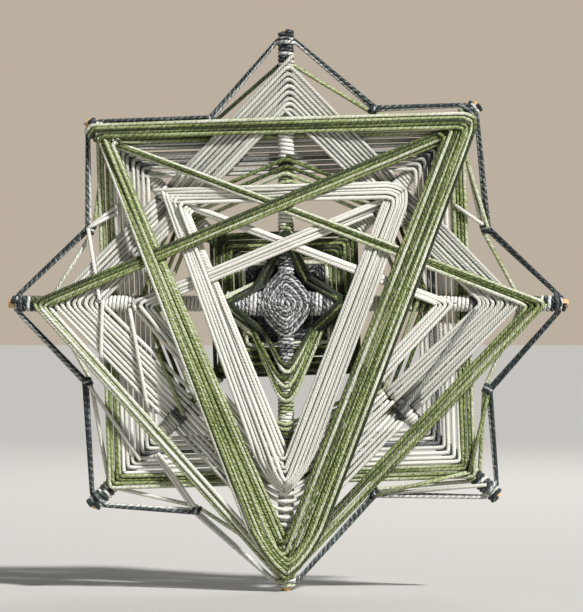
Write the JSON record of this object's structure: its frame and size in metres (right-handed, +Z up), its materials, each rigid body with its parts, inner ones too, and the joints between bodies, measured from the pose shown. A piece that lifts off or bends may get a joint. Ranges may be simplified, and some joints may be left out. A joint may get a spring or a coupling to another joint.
{
  "type": "ojo de dios yarn mandala",
  "caption": "Eight-armed yarn mandala: two crosses of craft dowels, one in front of the other, bound by squares, diamonds and triangles of yarn; hung on a wall as an ornament.",
  "frame": {"origin": "on the wall, straight behind the point where the four dowels cross", "axes": "+Z up along the vertical dowel, +X to the viewer's right, +Y into the wall"},
  "size_m": [0.305, 0.0266, 0.305],
  "materials": {
    "dowel_wood": "bare turned wood",
    "white_yarn": "plied yarn, cream",
    "green_yarn": "plied yarn, marled sage green and cream",
    "grey_yarn": "plied yarn, marled charcoal and light grey",
    "charcoal_yarn": "plied yarn, charcoal with light stretches"
  },
  "bodies": {
    "root": {"vertical_dowel": "dowel_wood", "horizontal_dowel": "dowel_wood", "rising_dowel": "dowel_wood", "falling_dowel": "dowel_wood", "front_eye": "grey_yarn", "back_eye": "grey_yarn", "eye_wrap_top": "grey_yarn", "eye_wrap_right": "grey_yarn", "eye_wrap_bottom": "grey_yarn", "eye_wrap_left": "grey_yarn", "front_green_diamond": "green_yarn", "back_green_square": "green_yarn", "octagon": "green_yarn", "back_green_rim": "green_yarn", "green_triangle_right": "green_yarn", "green_triangle_left": "green_yarn", "green_triangle_top": "green_yarn", "white_web": "white_yarn", "back_white_square": "white_yarn", "waist_ring": "white_yarn", "white_triangle_right": "white_yarn", "white_triangle_left": "white_yarn", "white_triangle_top": "white_yarn", "arm_wrap_right": "white_yarn", "arm_wrap_upper_right": "white_yarn", "arm_wrap_top": "white_yarn", "arm_wrap_upper_left": "white_yarn", "arm_wrap_left": "white_yarn", "arm_wrap_lower_left": "white_yarn", "arm_wrap_bottom": "white_yarn", "arm_wrap_lower_right": "white_yarn", "outline": "charcoal_yarn", "tip_wrap_right": "charcoal_yarn", "tip_wrap_upper_right": "charcoal_yarn", "tip_wrap_top": "charcoal_yarn", "tip_wrap_upper_left": "charcoal_yarn", "tip_wrap_left": "charcoal_yarn", "tip_wrap_lower_left": "charcoal_yarn", "tip_wrap_bottom": "charcoal_yarn", "tip_wrap_lower_right": "charcoal_yarn", "waist_tie_right": "charcoal_yarn", "waist_tie_upper_right": "charcoal_yarn", "waist_tie_top": "charcoal_yarn", "waist_tie_upper_left": "charcoal_yarn", "waist_tie_left": "charcoal_yarn", "waist_tie_lower_left": "charcoal_yarn", "waist_tie_bottom": "charcoal_yarn", "waist_tie_lower_right": "charcoal_yarn"}
  },
  "joints": []
}
